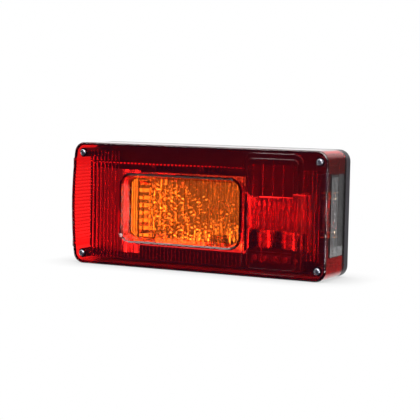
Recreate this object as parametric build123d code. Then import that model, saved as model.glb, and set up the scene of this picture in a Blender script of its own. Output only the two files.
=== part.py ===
from build123d import *
import os
from math import atan2, cos, pi, radians, sin, sqrt, tan

# Rear lamp cluster of a trailer: red lens with an amber and a clear window on a black tray, with its bulbs.
# The tray's mounting face is the plane Y = 0, centred between the two studs, and the lens faces -Y.
# Heights are measured from that face towards the lens. Millimetres.

# Body outline, seen from the front
body_width = 246.5
body_height = 110.0
end_bow = 3.9
corner_radius = 10.0

# Heights in front of the mounting face
front_height = 52.0
seam_height = 9.5
rim_height = 23.0
foot_height = 1.5

# Walls and fits
lens_wall = 2.5
floor_wall = 2.5
housing_wall = 5.0
rim_wall = 1.8
rim_clearance = 0.7
front_edge_radius = 1.5
back_edge_chamfer = 1.0
foot_width = 2.2
gasket_thickness = 1.0
gasket_inset = 0.3
gasket_width = 2.1
fit_clearance = 0.05
round_sides = 20

# Lens screws
screw_inset_x = 7.75
screw_inset_z = 9.2
screw_head_radius = 2.7
screw_head_height = 1.8
screw_radius = 1.5
screw_length = 24.0
screw_sink = 1.0
post_radius = 4.2

# Amber pan in the lens
pan_gap = 3.8
pan_width = 117.8
pan_height = 59.0
pan_sink = 2.25
pan_radius = 10.0
pan_depth = 14.0
pan_draft = 14.0
pan_lip = 1.2
amber_wall = 2.5
amber_rib_pitch = 11.5
amber_rib_pair = 4.5
amber_rib_width = 1.3
amber_rib_depth = 0.5
amber_rib_pairs = 9

# Tall raised window in the lens
tall_width = 55.0
tall_margin = 3.5
tall_radius = 9.0
tall_rise = 1.4
tall_ledge = 4.5
tall_chamfer = 0.4
tall_band = 27.0
tall_flute_pitch = 4.4
tall_flute_depth = 0.9
tall_flutes = 10
block_size = 9.0
block_gap = 0.4
block_columns = 4
block_rows = 3
block_thin = 0.3
block_thick = 1.5

# Upright flutes inside the lens front
flute_pitch = 3.7
flute_depth = 0.6
left_flute_inset = 15.75
left_flute_margin = 7.0
right_flute_inset = 7.25
right_flute_margin = 17.0
cross_rib_rise = 11.3
cross_rib_width = 1.0
cross_rib_depth = 0.9

# Level ribs inside the bowed end wall
end_rib_pitch = 3.1
end_rib_margin = 14.0
end_rib_depth = 0.35

# Clear window in the right end wall
clear_low = 11.5
clear_high = 43.5
clear_margin = 20.0
clear_rib_pitch = 3.0
clear_rib_depth = 0.8
clear_rib_count = 6

# Mounting studs
stud_spacing = 152.0
stud_radius = 3.0
stud_length = 20.0
stud_head_flats = 10.0
stud_head_height = 4.0
stud_boss_flats = 16.0
stud_pad_flats = 22.0

# Cable grommet
grommet_rise = 14.0
grommet_bore = 3.5
grommet_neck = 6.5
grommet_flange = 8.5
grommet_lip = 1.2

# Indicator reflector behind the amber window
tray_left_inset = 10.6
tray_side_gap = 0.3
tray_margin = 2.5
tray_wall = 1.5
tray_gap = 1.0
tray_low = 7.5
tray_left_low = 15.0
tray_left_slope = 1.0
tray_bowl = 5.5
tray_ear = 6.0
tray_ear_thickness = 1.2
flank_inset = 16.0
flank_low = 10.0
flank_margin = 11.0
tray_scallop_pitch = 7.0
tray_scallop_radius = 5.0
tray_scallops = 9
tray_left_wall = 3.2
stake_width = 5.0
stake_insets = (14.0, 61.5)

# Trough reflector behind the tall window
trough_half_width = 28.0
trough_top = 15.0
trough_front = 36.0
trough_edge = 16.0
trough_low = 11.0
trough_wall = 1.2
trough_gap = 1.9

# Bayonet bulbs and sockets
cap_radius = 7.5
cap_length = 16.0
cap_contact_radius = 2.5
glass_neck = 6.8
glass_shoulder = 4.0
dome_steps = 4
socket_wall = 1.0
socket_clearance = 0.2
socket_length = 16.0
socket_drop = 3.0
socket_slot_width = 2.6
socket_slot_depth = 7.5
glass_tip = 1.2
leaf_width = 5.0
leaf_thickness = 0.6
leaf_rise = 0.5
bulb_gap = 2.1

# Glass and places of the bulbs
indicator_shift = 27.0
indicator_height = 20.5
indicator_sink = 11.75
stop_tail_height = 25.0
stop_tail_rise = 38.5
stop_radius = 12.0
stop_length = 30.0
tail_radius = 9.4
tail_length = 23.0

# Carriers under the bulbs
carrier_width = 52.5
carrier_shift = -2.75
carrier_front = 36.0
carrier_wall = 2.0
holder_margin = 6.0
lug_length = 13.0
lug_height = 4.5
terminal_count = 5
terminal_pitch = 9.4
terminal_flats = 4.5
terminal_reach = 1.4

# Number plate light at the right end
plate_room = 16.85
festoon_height = 27.0
festoon_radius = 5.0
festoon_length = 27.0
festoon_cap_length = 5.0
festoon_tip_radius = 1.6
clip_thickness = 0.8
clip_reach = 3.6
clip_width = 8.0
clip_foot = 6.0
partition_wall = 1.8
partition_height = 40.0
partition_margin = 21.0

# Heights that follow from the sizes above
floor_top = foot_height + floor_wall
lens_rear = seam_height + gasket_thickness
front_inner = front_height - lens_wall
pan_floor = front_height - pan_depth
amber_rear = pan_floor - amber_wall
tray_front = amber_rear - amber_rib_depth - tray_gap
holder_front = tray_front - tray_ear_thickness

# Places along the lamp, worked out from its right end
end_x = body_width / 2
partition_x = end_x - plate_room - partition_wall / 2
festoon_x = (end_x - lens_wall + end_x - plate_room) / 2
tall_x = partition_x - partition_wall / 2 - trough_gap - trough_wall - trough_half_width
pan_x = tall_x - tall_width / 2 - pan_gap - pan_width / 2
pan_left = pan_x - pan_width / 2
left_flute_start = left_flute_inset - end_x
left_flutes = int((pan_left - left_flute_start) / flute_pitch)
right_flute_start = tall_x + tall_width / 2
right_flutes = int((end_x - right_flute_inset - right_flute_start) / flute_pitch)
tray_left = pan_left + tray_left_inset
tray_right = tall_x - trough_half_width - trough_wall - tray_side_gap - tray_wall
stake_x = [tray_left + inset for inset in stake_insets]
flank_left = flank_inset - end_x
grommet_x = -stud_spacing / 8
indicator_x = pan_x + indicator_shift
tail_x = tall_x - trough_half_width + tail_radius + bulb_gap
stop_x = tail_x + tail_radius + bulb_gap + stop_radius
carrier_left = tall_x + carrier_shift - carrier_width / 2
carrier_right = carrier_left + carrier_width
holder_left = tray_left
holder_right = carrier_left - tray_side_gap
stud_places = [-stud_spacing / 2, stud_spacing / 2]

# Places up the lamp
bottom_z = -body_height / 2
tall_height = body_height - 2 * tall_margin
clear_span = body_height - 2 * clear_margin
partition_span = body_height - 2 * partition_margin
left_flute_span = body_height - 2 * left_flute_margin
right_flute_span = body_height - 2 * right_flute_margin
end_rib_count = int((body_height - 2 * end_rib_margin) / end_rib_pitch)
pan_z = -pan_sink
cross_rib_z = pan_z + pan_height / 2 + cross_rib_rise
tray_half_height = pan_height / 2 + tray_margin
tray_half = tray_half_height + tray_wall
flank_bottom = bottom_z + flank_margin
grommet_z = bottom_z + grommet_rise
holder_bottom = bottom_z + holder_margin
holder_top = pan_z - tray_half
indicator_joint = holder_top + indicator_sink
stop_tail_joint = bottom_z + stop_tail_rise
carrier_top = stop_tail_joint - cap_length - fit_clearance

# Fits and bulbs
rim_inset = lens_wall + rim_clearance
socket_radius = cap_radius + socket_clearance + socket_wall
screw_places = [(x, z) for x in (screw_inset_x - end_x, end_x - screw_inset_x)
                for z in (bottom_z + screw_inset_z, -bottom_z - screw_inset_z)]
indicator_place = (indicator_x, indicator_height, indicator_joint, stop_radius, stop_length)
stop_place = (stop_x, stop_tail_height, stop_tail_joint, stop_radius, stop_length)
tail_place = (tail_x, stop_tail_height, stop_tail_joint, tail_radius, tail_length)
bulb_places = {"indicator": indicator_place, "stop": stop_place, "tail": tail_place}
leaf_places = ((indicator_place, holder_front), (stop_place, carrier_front), (tail_place, carrier_front))


# Shared drawing helpers

def at(height):
    """Sketch plane in X and Z at a height in front of the mounting face."""
    return Plane.XZ.offset(height)


def prism(face, low, high):
    """Solid of a face drawn in X and Z, between two heights."""
    return extrude(at(low) * face, amount=high - low, dir=(0, -1, 0))


def disc(x, z, radius, low, high):
    """Round bar square to the mounting face, between two heights."""
    return prism(Pos(x, z) * Circle(radius), low, high)


def bar(x, z, radius, low, high):
    """Many-sided bar square to the mounting face, between two heights."""
    return prism(Pos(x, z) * RegularPolygon(radius, round_sides), low, high)


def slab(x_low, x_high, low, high, z_low, z_high):
    """Box between two X values, two heights and two Z values."""
    face = Pos((x_low + x_high) / 2, (z_low + z_high) / 2) * Rectangle(x_high - x_low, z_high - z_low)
    return prism(face, low, high)


def hexagon(x, z, flats, low, high):
    """Hexagonal bar square to the mounting face, between two heights."""
    return prism(Pos(x, z) * RegularPolygon(flats / 2, 6, major_radius=False), low, high)


def faceted(points):
    """Solid about Z with flat sides, through (radius, z) points from its lower end to its upper end."""
    turns = [2 * pi * side / round_sides for side in range(round_sides)]
    rings = [[(radius * cos(turn), radius * sin(turn), z) for turn in turns] for radius, z in points]
    faces = [Face(Polyline(*ring, close=True)) for ring in (rings[0], rings[-1])]
    for low, high in zip(rings, rings[1:]):
        for side in range(round_sides):
            corners = (low[side - 1], low[side], high[side], high[side - 1])
            faces.append(Face(Polyline(*corners, close=True)))
    return Solid(Shell(faces))


def upright(edges, z_low, z_high):
    """Solid of a closed profile drawn in X and Y, carried up between two Z values."""
    return extrude(Pos(0, 0, z_low) * make_face(edges), amount=z_high - z_low, dir=(0, 0, 1))


def outline(inset):
    """Body outline drawn in by an inset: three straight sides, a bowed left end and rounded corners."""
    right = body_width / 2 - inset
    top = body_height / 2 - inset
    radius = corner_radius - inset
    corner = top - radius
    bow_radius = (top ** 2 + end_bow ** 2) / (2 * end_bow)
    bow_x = bow_radius - right - end_bow
    reach = sqrt((bow_radius - radius) ** 2 - corner ** 2)
    left = bow_x - reach
    share = bow_radius / (bow_radius - radius)
    touch = (bow_x - reach * share, corner * share)
    turn = (pi / 2 + atan2(touch[1] - corner, touch[0] - left)) / 2
    left_middle = (left + radius * cos(turn), corner + radius * sin(turn))
    slant = radius / sqrt(2)
    right_middle = (right - radius + slant, corner + slant)
    edges = [Line((left, top), (right - radius, top)),
             ThreePointArc((right - radius, top), right_middle, (right, corner)),
             Line((right, corner), (right, -corner)),
             ThreePointArc((right, -corner), (right_middle[0], -right_middle[1]), (right - radius, -top)),
             Line((right - radius, -top), (left, -top)),
             ThreePointArc((left, -top), (left_middle[0], -left_middle[1]), (touch[0], -touch[1])),
             ThreePointArc((touch[0], -touch[1]), (-right - end_bow, 0), touch),
             ThreePointArc(touch, left_middle, (left, top))]
    return make_face(edges)


# Lens

def lens_shell():
    """Lens shell with a rounded front edge, open at the rear."""
    outer = prism(outline(0), lens_rear, front_height)
    outer = fillet(outer.edges().group_by(Axis.Y)[0], front_edge_radius)
    return outer - prism(outline(lens_wall), lens_rear, front_inner)


def pan_section(height, grow):
    """Rounded rectangle of the drafted amber pan at a height."""
    inset = (front_height - height) * tan(radians(pan_draft)) - grow
    size = (pan_width - 2 * inset, pan_height - 2 * inset)
    return at(height) * (Pos(pan_x, pan_z) * RectangleRounded(*size, pan_radius - inset))


def pan_body(grow, low, high):
    """Solid between two heights of the drafted amber pan."""
    return extrude(pan_section(high, grow), amount=high - low, dir=(0, 1, 0), taper=pan_draft)


def tall_step(inset, low):
    """One step of the tall window, drawn in by an inset."""
    size = (tall_width - 2 * inset, tall_height - 2 * inset)
    return prism(Pos(tall_x, 0) * RectangleRounded(*size, tall_radius - inset), low, low + tall_rise / 2)


def tall_body():
    """Raised body of the tall window in two steps with chamfered front edges."""
    steps = [tall_step(0, front_height), tall_step(tall_ledge, front_height + tall_rise / 2)]
    lower, upper = [chamfer(step.edges().group_by(Axis.Y)[0], tall_chamfer) for step in steps]
    return lower + upper


def tall_hollow():
    """Hollow behind the tall window that keeps its wall as thick as the lens."""
    return tall_step(0, front_inner) + tall_step(tall_ledge, front_inner + tall_rise / 2)


def scallops(start, pitch, count, width, depth, base, embed):
    """Closed profile in X and Y of a row of round ribs that bulge back from a face at a height."""
    edges = []
    for index in range(count):
        x = start + index * pitch
        edges.append(ThreePointArc((x, -base), (x + width / 2, depth - base), (x + width, -base)))
        if width < pitch and index < count - 1:
            edges.append(Line((x + width, -base), (x + pitch, -base)))
    end = start + (count - 1) * pitch + width
    corners = [(end, -base), (end, -base - embed), (start, -base - embed), (start, -base)]
    edges += [Line(a, b) for a, b in zip(corners, corners[1:])]
    return edges


def front_flutes():
    """Upright flutes beside the pan and beside the tall window, with one level rib over the pan."""
    zones = ((left_flute_start, left_flutes, left_flute_span),
             (right_flute_start, right_flutes, right_flute_span))
    low = cross_rib_z - cross_rib_width / 2
    optics = slab(left_flute_start, pan_x + pan_width / 2, front_inner - cross_rib_depth,
                  front_inner + lens_wall / 2, low, low + cross_rib_width)
    for start, count, span in zones:
        profile = scallops(start, flute_pitch, count, flute_pitch, flute_depth, front_inner, lens_wall / 2)
        optics += upright(profile, -span / 2, span / 2)
    return optics


def tall_optics():
    """Flutes across the middle of the tall window, with rows of sloping blocks above and below them."""
    face = front_inner + tall_rise
    start = tall_x - tall_flutes * tall_flute_pitch / 2
    pitch = tall_flute_pitch
    profile = scallops(start, pitch, tall_flutes, pitch, tall_flute_depth, face, lens_wall / 2)
    optics = upright(profile, -tall_band / 2, tall_band / 2)
    pitch = block_size + block_gap
    for side in (1, -1):
        for row in range(block_rows):
            near = side * (tall_band / 2 + block_gap + row * pitch)
            far = near + side * block_size
            corners = [(block_thin - face, near), (block_thick - face, far), (-face - block_thin, far),
                       (-face - block_thin, near)]
            wedge = Plane.YZ * make_face(Polyline(*corners, close=True))
            for column in range(block_columns):
                x = tall_x + (column - block_columns / 2) * pitch
                optics += Pos(x, 0, 0) * extrude(wedge, amount=block_size, dir=(1, 0, 0))
    return optics


def end_ribs():
    """Level ribs inside the bowed end wall, above the housing rim."""
    half = body_height / 2
    wall_x = lens_wall - body_width / 2

    def bow(z):
        return wall_x - end_bow * (1 - (z / half) ** 2)

    first = -end_rib_count * end_rib_pitch / 2
    edges = []
    for index in range(end_rib_count):
        low = first + index * end_rib_pitch
        high = low + end_rib_pitch
        middle = (low + high) / 2
        edges.append(ThreePointArc((bow(low), low), (bow(middle) + end_rib_depth, middle), (bow(high), high)))
    back = bow(0) - lens_wall / 2
    corners = [(bow(-first), -first), (back, -first), (back, first), (bow(first), first)]
    edges += [Line(a, b) for a, b in zip(corners, corners[1:])]
    return prism(make_face(edges), rim_height + rim_clearance, front_height - lens_wall / 2)


def clear_block():
    """Block that cuts the clear window out of the right end wall."""
    inner = body_width / 2 - 2 * lens_wall
    return slab(inner, body_width / 2 + lens_wall, clear_low, clear_high, -clear_span / 2, clear_span / 2)


def red_lens():
    """Red moulding with the pan, the tall window, inner optics, the end window's opening and screw holes."""
    lens = lens_shell() + pan_body(lens_wall, pan_floor, front_inner + lens_wall / 2)
    lens -= pan_body(0, pan_floor - lens_wall, front_height + lens_wall)
    slack = fit_clearance
    edges = lens.edges().filter_by_position(Axis.Y, -front_height - slack, slack - front_height)
    edges = edges.filter_by_position(Axis.X, pan_left - slack, pan_left + pan_width + slack)
    edges = edges.filter_by_position(Axis.Z, pan_z - pan_height / 2 - slack, pan_z + pan_height / 2 + slack)
    lens = chamfer(edges, pan_lip)
    lens = lens + tall_body() - tall_hollow()
    lens += front_flutes()
    lens += tall_optics()
    lens += end_ribs()
    lens -= clear_block()
    for x, z in screw_places:
        lens -= bar(x, z, screw_radius + rim_clearance, front_inner - lens_wall, front_height)
        seat = front_height - screw_sink
        lens -= bar(x, z, screw_head_radius + rim_clearance, seat, seat + lens_wall)
    return lens


def amber_window():
    """Amber floor of the pan, welded behind the red pan wall, with pairs of upright ribs on its back."""
    plate = pan_section(pan_floor, lens_wall)
    window = extrude(plate, amount=-amber_wall, dir=(0, -1, 0))
    first = pan_x - ((amber_rib_pairs - 1) * amber_rib_pitch + amber_rib_pair + amber_rib_width) / 2
    half = pan_height / 2 - lens_wall
    for index in range(2 * amber_rib_pairs):
        x = first + index // 2 * amber_rib_pitch + index % 2 * amber_rib_pair
        ridge = (x + amber_rib_width / 2, amber_rib_depth - amber_rear)
        rib = Polyline((x, -amber_rear), ridge, (x + amber_rib_width, -amber_rear), close=True)
        window += upright(rib, pan_z - half, pan_z + half)
    return window


def clear_end_window():
    """Clear window welded flush into the right end wall, with upright ribs on its inner face."""
    window = lens_shell() & clear_block()
    first = rim_height + clear_rib_pitch
    x = body_width / 2 - lens_wall / 2
    inner = x - lens_wall / 2 - clear_rib_depth
    half = clear_rib_pitch / 2
    for index in range(clear_rib_count):
        height = first + index * clear_rib_pitch
        rib = Polyline((x, -height - half), (inner, -height), (x, half - height), close=True)
        window += upright(rib, lens_wall - clear_span / 2, clear_span / 2 - lens_wall)
    return window


def lens_gasket():
    """Flat sealing ring between the housing and the rear edge of the lens."""
    ring = outline(gasket_inset) - outline(gasket_inset + gasket_width)
    return prism(ring, seam_height, lens_rear)


def lens_screw(x, z):
    """Pan-headed tapping screw, its head let into the lens front."""
    seat = front_height - screw_sink
    head = bar(x, z, screw_head_radius, seat, seat + screw_head_height)
    return head + bar(x, z, screw_radius, seat - screw_length, seat)


# Housing

def housing():
    """Black tray: floor on a foot rim, wall with a seal ledge, inner rim, posts, partition and bosses."""
    body = prism(outline(0), 0, seam_height)
    body = chamfer(body.edges().group_by(Axis.Y)[-1], back_edge_chamfer)
    body -= prism(outline(housing_wall), floor_top, seam_height)
    body -= prism(outline(foot_width), 0, foot_height)
    body += prism(outline(rim_inset) - outline(rim_inset + rim_wall), floor_top, rim_height)
    body += back_ribs()
    for x, z in screw_places:
        body += bar(x, z, post_radius, floor_top, front_inner)
    for x in stud_places:
        body += hexagon(x, 0, stud_boss_flats, floor_top, floor_top + stud_head_height)
        body += hexagon(x, 0, stud_pad_flats, 0, foot_height)
    for x in stake_x:
        z = pan_z + tray_half + fit_clearance + stake_width / 2
        body += prism(Pos(x, z) * Rectangle(stake_width, stake_width), floor_top, holder_front)
    left = partition_x - partition_wall / 2
    half = partition_span / 2
    body += slab(left, left + partition_wall, floor_top, partition_height, -half, half)
    for x, z in screw_places:
        body -= bar(x, z, screw_radius + fit_clearance, front_inner - screw_length - screw_sink, front_inner)
    for x in stud_places:
        body -= hexagon(x, 0, stud_head_flats + 2 * fit_clearance, floor_top, floor_top + stud_head_height)
        neck = 2 * (stud_radius + fit_clearance)
        body -= prism(Pos(x, 0) * Rectangle(neck, neck), 0, floor_top)
    body -= bar(grommet_x, grommet_z, grommet_neck, 0, floor_top)
    return body


def back_ribs():
    """Stiffening ribs across the recessed back of the tray, level with its foot rim."""
    ribs = slab(-body_width / 2 + foot_width, body_width / 2 - foot_width, 0, foot_height,
                -foot_width / 2, foot_width / 2)
    for x in (*stud_places, 0):
        ribs += slab(x - foot_width / 2, x + foot_width / 2, 0, foot_height,
                     -body_height / 2 + foot_width, body_height / 2 - foot_width)
    return ribs


def mount_stud(x):
    """Hexagon-headed stud with a square neck in the floor, its shank standing out of the back."""
    head = hexagon(x, 0, stud_head_flats, floor_top, floor_top + stud_head_height)
    neck = prism(Pos(x, 0) * Rectangle(2 * stud_radius, 2 * stud_radius), 0, floor_top)
    return head + neck + disc(x, 0, stud_radius, -stud_length, 0)


def cable_grommet():
    """Rubber ring that seals the cable's way through the floor, with a flange on the back."""
    ring = bar(grommet_x, grommet_z, grommet_neck, foot_height, floor_top + grommet_lip)
    ring += bar(grommet_x, grommet_z, grommet_flange, foot_height - grommet_lip, foot_height)
    return ring - disc(grommet_x, grommet_z, grommet_bore, foot_height - grommet_lip, floor_top + grommet_lip)


# Reflectors

def tray_profile():
    """Hollow of the indicator reflector in X and Y, with a long arc as its back."""
    bulb_x = indicator_place[0]
    left_floor = (tray_left + tray_left_slope, -tray_left_low)
    rise = tray_left_low - tray_low
    radius = ((bulb_x - left_floor[0]) ** 2 + rise ** 2) / (2 * rise)
    right_low = tray_low + radius - sqrt(radius ** 2 - (tray_right - bulb_x) ** 2)
    right_floor = (tray_right, -right_low)
    mouth = [(tray_right, -tray_front), (tray_left, -tray_front)]
    return [ThreePointArc(left_floor, (bulb_x, -tray_low), right_floor), Line(right_floor, mouth[0]),
            Line(mouth[0], mouth[1]), Line(mouth[1], left_floor)]


def tray_hollow():
    """Hollow of the indicator reflector: its long arc, bowed up and down as a bowl."""
    half = tray_half_height
    edge = -tray_low - tray_bowl
    bowl = [ThreePointArc((edge, -half), (-tray_low, 0), (edge, half))]
    corners = [(edge, half), (-front_height, half), (-front_height, -half), (edge, -half)]
    bowl += [Line(a, b) for a, b in zip(corners, corners[1:])]
    across = extrude(Plane.YZ * make_face(bowl), amount=body_width, both=True)
    return across & upright(tray_profile(), -half, half)


def indicator_reflector():
    """Open tray with a bowed back, a scalloped left wall, a sloping flank and ears for the stakes."""
    skin = offset(make_face(tray_profile()), amount=tray_wall, kind=Kind.INTERSECTION)
    body = extrude(Pos(0, 0, -tray_half) * skin, amount=2 * tray_half, dir=(0, 0, 1))
    rim = (tray_left - tray_wall, tray_right + tray_wall)
    body -= slab(*rim, tray_front, front_height, -tray_half, tray_half)
    body -= tray_hollow()
    body += scalloped_wall()
    for x in stake_x:
        body += slab(x - stake_width / 2, x + stake_width / 2, holder_front, tray_front,
                     tray_half_height, tray_half + tray_ear)
    flank = [(tray_left, -tray_front), (flank_left, -flank_low), (flank_left, tray_wall - flank_low),
             (tray_left, tray_wall - tray_front)]
    body += upright(Polyline(*flank, close=True), flank_bottom - pan_z, tray_half)
    body -= socket_hole(indicator_place, rim_clearance, -tray_half, 2 * indicator_sink)
    return Pos(0, 0, pan_z) * body


def scalloped_wall():
    """Level scallops down the left wall of the tray, cut along its slope."""
    low = (tray_left + tray_left_slope, -tray_left_low)
    front = (tray_left, -tray_front)
    thick = tray_left_wall - tray_wall
    corners = [front, (front[0] + thick, front[1]), (low[0] + thick, low[1]), low]
    wall = upright(Polyline(*corners, close=True), -tray_half_height, tray_half_height)
    run = Vector(low[0] - front[0], low[1] - front[1], 0)
    sink = sqrt(tray_scallop_radius ** 2 - (tray_scallop_pitch / 2) ** 2)
    for index in range(tray_scallops):
        z = (index - (tray_scallops - 1) / 2) * tray_scallop_pitch
        centre = Vector(front[0] + thick + sink, front[1], z) - run
        plane = Plane(origin=centre, z_dir=run)
        wall -= extrude(plane * Circle(tray_scallop_radius), amount=3 * run.length)
    return wall


def stop_tail_reflector():
    """Upright trough behind the two bulbs of the tall window, standing on the bulb carrier."""
    left = tall_x - trough_half_width
    right = tall_x + trough_half_width
    corners = [(left, -trough_edge), (tall_x, -trough_low), (right, -trough_edge)]
    mouth = [(right, -trough_front), (left, -trough_front)]
    edges = [ThreePointArc(*corners), Line(corners[2], mouth[0]), Line(mouth[0], mouth[1]),
             Line(mouth[1], corners[0])]
    hollow = make_face(edges)
    skin = offset(hollow, amount=trough_wall, kind=Kind.INTERSECTION) - hollow
    trough = extrude(Pos(0, 0, carrier_top) * skin, amount=trough_top - carrier_top, dir=(0, 0, 1))
    return trough - slab(left, right, trough_front, front_height, carrier_top, trough_top)


# Bulbs

def bulb_glass(place):
    """Sealed glass of a bayonet bulb: a neck, a cone and a round end."""
    x, height, joint, radius, length = place
    middle = length - radius
    turns = [radians(90 * step / dome_steps) for step in range(dome_steps)]
    dome = [(radius * cos(turn), middle + radius * sin(turn)) for turn in turns]
    points = [(glass_neck, 0), (glass_neck, glass_shoulder), *dome, (glass_tip, length)]
    return Pos(x, -height, joint) * faceted(points)


def bulb_cap(place):
    """Metal cap of a bayonet bulb, coned towards its end contact."""
    x, height, joint, radius, length = place
    cone = (cap_radius - cap_contact_radius) / 2
    points = [(cap_contact_radius, -cap_length), (cap_radius, cone - cap_length), (cap_radius, 0)]
    return Pos(x, -height, joint) * faceted(points)


def bulb_socket(place):
    """Pressed sleeve of a bayonet socket, with two slots for the pins of the cap."""
    x, height, joint, radius, length = place
    bottom = -socket_drop - socket_length
    ring = RegularPolygon(socket_radius, round_sides)
    ring -= RegularPolygon(cap_radius + socket_clearance, round_sides)
    sleeve = extrude(Pos(0, 0, bottom) * ring, amount=socket_length, dir=(0, 0, 1))
    slot = Pos(0, 0, -socket_drop) * Box(4 * socket_radius, socket_slot_width, 2 * socket_slot_depth)
    return Pos(x, -height, joint) * (sleeve - slot)


def socket_hole(place, clearance, z, length):
    """Cutter for the way of a socket through a level wall."""
    hole = RegularPolygon(socket_radius + clearance, round_sides)
    return Pos(place[0], -place[1], z - length / 2) * extrude(hole, amount=length, dir=(0, 0, 1))


def contact_leaf(place, front):
    """Spring leaf that rises under a bulb's end contact from the front wall of its carrier."""
    x, height, joint, radius, length = place
    top = joint - cap_length
    low = holder_bottom + leaf_rise
    left = x - leaf_width / 2
    blade = slab(left, left + leaf_width, height, height + leaf_thickness, low, top)
    return blade + slab(left, left + leaf_width, height, front - carrier_wall, low, low + leaf_thickness)


# Carriers

def bulb_carrier():
    """Black moulded box under the stop and tail bulbs, with two socket holes in its top."""
    body = slab(carrier_left, carrier_right, floor_top, carrier_front, holder_bottom, carrier_top)
    body -= slab(carrier_left + carrier_wall, carrier_right - carrier_wall, floor_top,
                 carrier_front - carrier_wall, holder_bottom, carrier_top - carrier_wall)
    for place in (stop_place, tail_place):
        body -= socket_hole(place, fit_clearance, carrier_top, 4 * carrier_wall)
    return body


def indicator_holder():
    """Long black box under the indicator reflector, with a socket hole in its top and a lug at its left."""
    body = slab(holder_left, holder_right, floor_top, holder_front, holder_bottom, holder_top)
    body += slab(holder_left - lug_length, holder_left, floor_top, holder_front,
                 holder_bottom, holder_bottom + lug_height)
    inside = (holder_left + carrier_wall, holder_right - carrier_wall)
    body -= slab(*inside, floor_top, holder_front - carrier_wall, holder_bottom, holder_top - carrier_wall)
    notch = grommet_neck + rim_clearance
    body -= bar(grommet_x, grommet_z, notch, floor_top, floor_top + grommet_lip + rim_clearance)
    return body - socket_hole(indicator_place, fit_clearance, holder_top, 4 * carrier_wall)


def terminal_places():
    """X and Z of each terminal screw on the front of the bulb carrier."""
    first = (carrier_left + carrier_right - (terminal_count - 1) * terminal_pitch) / 2
    z = (holder_bottom + carrier_top) / 2
    return [(first + index * terminal_pitch, z) for index in range(terminal_count)]


def terminal_screw(x, z):
    """Hexagonal head of a terminal screw on the front of the bulb carrier."""
    return hexagon(x, z, terminal_flats, carrier_front, carrier_front + terminal_reach)


# Number plate light

def festoon_glass():
    """Sealed glass tube of the number plate bulb."""
    half = festoon_length / 2
    return Pos(festoon_x, -festoon_height, 0) * faceted([(festoon_radius, -half), (festoon_radius, half)])


def festoon_cap(side):
    """Coned metal end of the number plate bulb, on its upper (1) or lower (-1) end."""
    rim = festoon_length / 2
    cap = faceted([(festoon_radius, rim), (festoon_radius, rim + festoon_cap_length / 4),
                   (festoon_tip_radius, rim + festoon_cap_length)])
    return Pos(festoon_x, -festoon_height, 0) * (Rot(90 - 90 * side, 0, 0) * cap)


def plate_clip(side):
    """Spring clip that holds one end of the number plate bulb, with a foot on the tray's floor."""
    near = festoon_length / 2 + festoon_cap_length
    top = festoon_height + clip_reach
    left = festoon_x - clip_width / 2
    low = min(side * near, side * (near + clip_thickness))
    blade = slab(left, left + clip_width, floor_top, top, low, low + clip_thickness)
    foot_low = min(side * near, side * (near + clip_foot))
    foot_top = floor_top + clip_thickness
    return blade + slab(left, left + clip_width, floor_top, foot_top, foot_low, foot_low + clip_foot)


# Nodes

def group(solids):
    """Several like pieces kept as separate solids of one node."""
    return Compound(children=list(solids))


nodes = {
    "housing": housing(),
    "lens_gasket": lens_gasket(),
    "red_lens": red_lens(),
    "amber_window": amber_window(),
    "clear_end_window": clear_end_window(),
    "lens_screws": group(lens_screw(x, z) for x, z in screw_places),
    "indicator_reflector": indicator_reflector(),
    "stop_tail_reflector": stop_tail_reflector(),
    "bulb_carrier": bulb_carrier(),
    "indicator_holder": indicator_holder(),
    "terminal_screws": group(terminal_screw(x, z) for x, z in terminal_places()),
    "bulb_sockets": group(bulb_socket(place) for place in bulb_places.values()),
    "contact_leaves": group(contact_leaf(place, front) for place, front in leaf_places),
    "plate_bulb_glass": festoon_glass(),
    "plate_bulb_caps": group(festoon_cap(side) for side in (1, -1)),
    "plate_bulb_clips": group(plate_clip(side) for side in (1, -1)),
    "mount_studs": group(mount_stud(x) for x in stud_places),
    "cable_grommet": cable_grommet(),
}
for name, place in bulb_places.items():
    nodes[name + "_bulb_glass"] = bulb_glass(place)
    nodes[name + "_bulb_cap"] = bulb_cap(place)

os.makedirs("parts", exist_ok=True)
for name, shape in nodes.items():
    export_step(shape, os.path.join("parts", name + ".step"))
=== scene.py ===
import bmesh
import bpy
import numpy as np
from mathutils import Matrix, Vector


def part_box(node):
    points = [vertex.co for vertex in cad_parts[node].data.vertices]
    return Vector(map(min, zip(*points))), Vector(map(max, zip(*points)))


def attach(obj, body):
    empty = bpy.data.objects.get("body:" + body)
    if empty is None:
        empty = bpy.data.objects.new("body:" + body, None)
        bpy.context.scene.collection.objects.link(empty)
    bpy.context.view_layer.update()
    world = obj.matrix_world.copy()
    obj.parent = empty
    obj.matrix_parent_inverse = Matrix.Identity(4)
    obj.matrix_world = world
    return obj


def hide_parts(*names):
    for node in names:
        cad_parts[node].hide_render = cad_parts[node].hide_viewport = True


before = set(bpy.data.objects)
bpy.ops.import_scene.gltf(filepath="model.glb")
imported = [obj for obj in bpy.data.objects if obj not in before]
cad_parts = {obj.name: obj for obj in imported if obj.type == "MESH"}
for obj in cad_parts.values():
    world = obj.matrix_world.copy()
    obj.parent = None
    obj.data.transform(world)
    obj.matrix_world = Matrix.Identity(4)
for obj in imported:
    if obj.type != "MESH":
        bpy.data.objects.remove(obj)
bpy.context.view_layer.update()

# Housing: the black tray that everything is fixed to, moulded in ABS.
# Its floor stands on a foot rim and ribs, a ledge takes the seal, and four posts take the lens screws.
# It keeps the shape of the solid, with its corners shaded as moulded edges.
MM = 0.001
MERGE_SOLID, EMPTY_EDGE = 0.001, 0.001
NOISE_LOW, NOISE_HIGH = 0.3, 0.7
# Bounds of the inside of the tray, which is painted darker as shade
INSIDE_X, INSIDE_Z, INSIDE_Y = 121.5, 53.0, -1.5


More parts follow.
